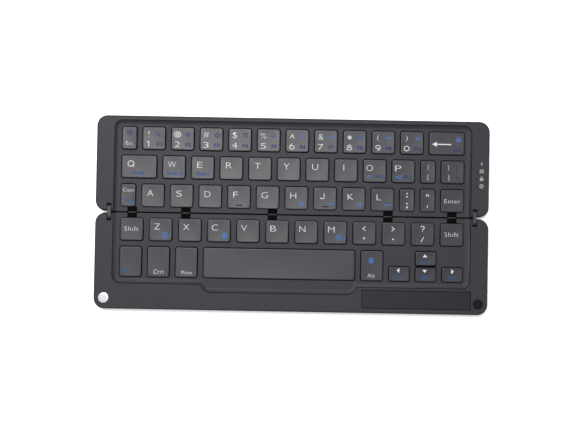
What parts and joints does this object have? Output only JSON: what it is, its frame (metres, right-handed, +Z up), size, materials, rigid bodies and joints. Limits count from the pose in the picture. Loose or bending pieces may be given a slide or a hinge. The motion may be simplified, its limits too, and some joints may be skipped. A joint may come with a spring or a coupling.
{
  "type": "folding keyboard",
  "caption": "Pocket keyboard in two hinged halves that fold face to face, with low scissor-style keys, corner magnet and rubber bumper.",
  "frame": {"origin": "middle of the footprint on the table, on the seam line between the halves, opened flat", "axes": "+X right along the key rows as the typist sees them, +Y to the rear, +Z up; halves opened flat"},
  "size_m": [0.233, 0.1146, 0.0069],
  "materials": {
    "shell": "fine satin dark grey plastic",
    "base": "fine textured dark grey plastic",
    "keycap": "fine textured grey plastic",
    "plate": "plain rolled sheet",
    "contact_sheet": "moulded silicone domes on film",
    "board": "green solder mask",
    "socket": "formed sheet shell",
    "lens": "clear smoked light pipe",
    "magnet": "nickel plated",
    "rubber": "matt black rubber",
    "screw": "zinc plated",
    "link": "black moulded link",
    "steel": "ground rod",
    "flex": "amber flexible film",
    "battery": "foil pouch cell"
  },
  "bodies": {
    "rear_half": {"rear_deck": "shell", "rear_base": "base", "rear_key_plate": "plate", "rear_dome_sheet": "contact_sheet", "main_board": "board", "charge_socket": "socket", "indicator_lenses": "lens", "catch_magnet": "magnet", "rear_feet": "rubber", "rear_screws": "screw"},
    "hinge_links": {"end_links": "shell", "bridge_links": "link", "rear_hinge_rod": "steel", "front_hinge_rod": "steel", "flex_bridge": "flex"},
    "front_half": {"front_deck": "shell", "front_base": "base", "front_key_plate": "plate", "front_dome_sheet": "contact_sheet", "battery": "battery", "closing_magnet": "magnet", "rubber_bumper": "rubber", "front_feet": "rubber", "front_screws": "screw"},
    "key_q_cap": {"key_q": "keycap"},
    "key_w_cap": {"key_w": "keycap"},
    "key_e_cap": {"key_e": "keycap"},
    "key_r_cap": {"key_r": "keycap"},
    "key_t_cap": {"key_t": "keycap"},
    "key_y_cap": {"key_y": "keycap"},
    "key_u_cap": {"key_u": "keycap"},
    "key_i_cap": {"key_i": "keycap"},
    "key_o_cap": {"key_o": "keycap"},
    "key_p_cap": {"key_p": "keycap"},
    "key_a_cap": {"key_a": "keycap"},
    "key_s_cap": {"key_s": "keycap"},
    "key_d_cap": {"key_d": "keycap"},
    "key_f_cap": {"key_f": "keycap"},
    "key_g_cap": {"key_g": "keycap"},
    "key_h_cap": {"key_h": "keycap"},
    "key_j_cap": {"key_j": "keycap"},
    "key_k_cap": {"key_k": "keycap"},
    "key_l_cap": {"key_l": "keycap"},
    "key_enter_cap": {"key_enter": "keycap"},
    "key_backspace_cap": {"key_backspace": "keycap"},
    "number_keys_group": {"number_keys": "keycap"},
    "corner_keys_group": {"corner_keys": "keycap"},
    "rear_symbol_keys_group": {"rear_symbol_keys": "keycap"},
    "key_z_cap": {"key_z": "keycap"},
    "key_x_cap": {"key_x": "keycap"},
    "key_c_cap": {"key_c": "keycap"},
    "key_v_cap": {"key_v": "keycap"},
    "key_b_cap": {"key_b": "keycap"},
    "key_n_cap": {"key_n": "keycap"},
    "key_m_cap": {"key_m": "keycap"},
    "key_space_cap": {"key_space": "keycap", "space_stabilizer": "steel"},
    "front_symbol_keys_group": {"front_symbol_keys": "keycap"},
    "modifier_keys_group": {"modifier_keys": "keycap"},
    "arrow_keys_group": {"arrow_keys": "keycap"}
  },
  "joints": [
    {"name": "fold_rear", "type": "hinge", "parent": "rear_half", "child": "hinge_links", "pos_m": [0, 0.0023, 0.00455], "axis": [-1, 0, 0], "range_deg": [0, 90]},
    {"name": "fold_front", "type": "hinge", "parent": "hinge_links", "child": "front_half", "pos_m": [0, -0.0023, 0.00455], "axis": [-1, 0, 0], "range_deg": [0, 90]},
    {"name": "press_q", "type": "slide", "parent": "rear_half", "child": "key_q_cap", "axis": [0, 0, 1], "range_m": [-0.0012, 0], "stiffness_N_per_m": 400, "deforming": ["rear_dome_sheet"]},
    {"name": "press_w", "type": "slide", "parent": "rear_half", "child": "key_w_cap", "axis": [0, 0, 1], "range_m": [-0.0012, 0], "stiffness_N_per_m": 400, "deforming": ["rear_dome_sheet"]},
    {"name": "press_e", "type": "slide", "parent": "rear_half", "child": "key_e_cap", "axis": [0, 0, 1], "range_m": [-0.0012, 0], "stiffness_N_per_m": 400, "deforming": ["rear_dome_sheet"]},
    {"name": "press_r", "type": "slide", "parent": "rear_half", "child": "key_r_cap", "axis": [0, 0, 1], "range_m": [-0.0012, 0], "stiffness_N_per_m": 400, "deforming": ["rear_dome_sheet"]},
    {"name": "press_t", "type": "slide", "parent": "rear_half", "child": "key_t_cap", "axis": [0, 0, 1], "range_m": [-0.0012, 0], "stiffness_N_per_m": 400, "deforming": ["rear_dome_sheet"]},
    {"name": "press_y", "type": "slide", "parent": "rear_half", "child": "key_y_cap", "axis": [0, 0, 1], "range_m": [-0.0012, 0], "stiffness_N_per_m": 400, "deforming": ["rear_dome_sheet"]},
    {"name": "press_u", "type": "slide", "parent": "rear_half", "child": "key_u_cap", "axis": [0, 0, 1], "range_m": [-0.0012, 0], "stiffness_N_per_m": 400, "deforming": ["rear_dome_sheet"]},
    {"name": "press_i", "type": "slide", "parent": "rear_half", "child": "key_i_cap", "axis": [0, 0, 1], "range_m": [-0.0012, 0], "stiffness_N_per_m": 400, "deforming": ["rear_dome_sheet"]},
    {"name": "press_o", "type": "slide", "parent": "rear_half", "child": "key_o_cap", "axis": [0, 0, 1], "range_m": [-0.0012, 0], "stiffness_N_per_m": 400, "deforming": ["rear_dome_sheet"]},
    {"name": "press_p", "type": "slide", "parent": "rear_half", "child": "key_p_cap", "axis": [0, 0, 1], "range_m": [-0.0012, 0], "stiffness_N_per_m": 400, "deforming": ["rear_dome_sheet"]},
    {"name": "press_a", "type": "slide", "parent": "rear_half", "child": "key_a_cap", "axis": [0, 0, 1], "range_m": [-0.0012, 0], "stiffness_N_per_m": 400, "deforming": ["rear_dome_sheet"]},
    {"name": "press_s", "type": "slide", "parent": "rear_half", "child": "key_s_cap", "axis": [0, 0, 1], "range_m": [-0.0012, 0], "stiffness_N_per_m": 400, "deforming": ["rear_dome_sheet"]},
    {"name": "press_d", "type": "slide", "parent": "rear_half", "child": "key_d_cap", "axis": [0, 0, 1], "range_m": [-0.0012, 0], "stiffness_N_per_m": 400, "deforming": ["rear_dome_sheet"]},
    {"name": "press_f", "type": "slide", "parent": "rear_half", "child": "key_f_cap", "axis": [0, 0, 1], "range_m": [-0.0012, 0], "stiffness_N_per_m": 400, "deforming": ["rear_dome_sheet"]},
    {"name": "press_g", "type": "slide", "parent": "rear_half", "child": "key_g_cap", "axis": [0, 0, 1], "range_m": [-0.0012, 0], "stiffness_N_per_m": 400, "deforming": ["rear_dome_sheet"]},
    {"name": "press_h", "type": "slide", "parent": "rear_half", "child": "key_h_cap", "axis": [0, 0, 1], "range_m": [-0.0012, 0], "stiffness_N_per_m": 400, "deforming": ["rear_dome_sheet"]},
    {"name": "press_j", "type": "slide", "parent": "rear_half", "child": "key_j_cap", "axis": [0, 0, 1], "range_m": [-0.0012, 0], "stiffness_N_per_m": 400, "deforming": ["rear_dome_sheet"]},
    {"name": "press_k", "type": "slide", "parent": "rear_half", "child": "key_k_cap", "axis": [0, 0, 1], "range_m": [-0.0012, 0], "stiffness_N_per_m": 400, "deforming": ["rear_dome_sheet"]},
    {"name": "press_l", "type": "slide", "parent": "rear_half", "child": "key_l_cap", "axis": [0, 0, 1], "range_m": [-0.0012, 0], "stiffness_N_per_m": 400, "deforming": ["rear_dome_sheet"]},
    {"name": "press_enter", "type": "slide", "parent": "rear_half", "child": "key_enter_cap", "axis": [0, 0, 1], "range_m": [-0.0012, 0], "stiffness_N_per_m": 400, "deforming": ["rear_dome_sheet"]},
    {"name": "press_backspace", "type": "slide", "parent": "rear_half", "child": "key_backspace_cap", "axis": [0, 0, 1], "range_m": [-0.0012, 0], "stiffness_N_per_m": 400, "deforming": ["rear_dome_sheet"]},
    {"name": "press_number_keys", "type": "slide", "parent": "rear_half", "child": "number_keys_group", "axis": [0, 0, 1], "range_m": [-0.0012, 0], "stiffness_N_per_m": 400, "deforming": ["rear_dome_sheet"]},
    {"name": "press_corner_keys", "type": "slide", "parent": "rear_half", "child": "corner_keys_group", "axis": [0, 0, 1], "range_m": [-0.0012, 0], "stiffness_N_per_m": 400, "deforming": ["rear_dome_sheet"]},
    {"name": "press_rear_symbol_keys", "type": "slide", "parent": "rear_half", "child": "rear_symbol_keys_group", "axis": [0, 0, 1], "range_m": [-0.0012, 0], "stiffness_N_per_m": 400, "deforming": ["rear_dome_sheet"]},
    {"name": "press_z", "type": "slide", "parent": "front_half", "child": "key_z_cap", "axis": [0, 0, 1], "range_m": [-0.0012, 0], "stiffness_N_per_m": 400, "deforming": ["front_dome_sheet"]},
    {"name": "press_x", "type": "slide", "parent": "front_half", "child": "key_x_cap", "axis": [0, 0, 1], "range_m": [-0.0012, 0], "stiffness_N_per_m": 400, "deforming": ["front_dome_sheet"]},
    {"name": "press_c", "type": "slide", "parent": "front_half", "child": "key_c_cap", "axis": [0, 0, 1], "range_m": [-0.0012, 0], "stiffness_N_per_m": 400, "deforming": ["front_dome_sheet"]},
    {"name": "press_v", "type": "slide", "parent": "front_half", "child": "key_v_cap", "axis": [0, 0, 1], "range_m": [-0.0012, 0], "stiffness_N_per_m": 400, "deforming": ["front_dome_sheet"]},
    {"name": "press_b", "type": "slide", "parent": "front_half", "child": "key_b_cap", "axis": [0, 0, 1], "range_m": [-0.0012, 0], "stiffness_N_per_m": 400, "deforming": ["front_dome_sheet"]},
    {"name": "press_n", "type": "slide", "parent": "front_half", "child": "key_n_cap", "axis": [0, 0, 1], "range_m": [-0.0012, 0], "stiffness_N_per_m": 400, "deforming": ["front_dome_sheet"]},
    {"name": "press_m", "type": "slide", "parent": "front_half", "child": "key_m_cap", "axis": [0, 0, 1], "range_m": [-0.0012, 0], "stiffness_N_per_m": 400, "deforming": ["front_dome_sheet"]},
    {"name": "press_space", "type": "slide", "parent": "front_half", "child": "key_space_cap", "axis": [0, 0, 1], "range_m": [-0.0012, 0], "stiffness_N_per_m": 400, "deforming": ["front_dome_sheet"]},
    {"name": "press_front_symbol_keys", "type": "slide", "parent": "front_half", "child": "front_symbol_keys_group", "axis": [0, 0, 1], "range_m": [-0.0012, 0], "stiffness_N_per_m": 400, "deforming": ["front_dome_sheet"]},
    {"name": "press_modifier_keys", "type": "slide", "parent": "front_half", "child": "modifier_keys_group", "axis": [0, 0, 1], "range_m": [-0.0012, 0], "stiffness_N_per_m": 400, "deforming": ["front_dome_sheet"]},
    {"name": "press_arrow_keys", "type": "slide", "parent": "front_half", "child": "arrow_keys_group", "axis": [0, 0, 1], "range_m": [-0.0012, 0], "stiffness_N_per_m": 400, "deforming": ["front_dome_sheet"]}
  ]
}
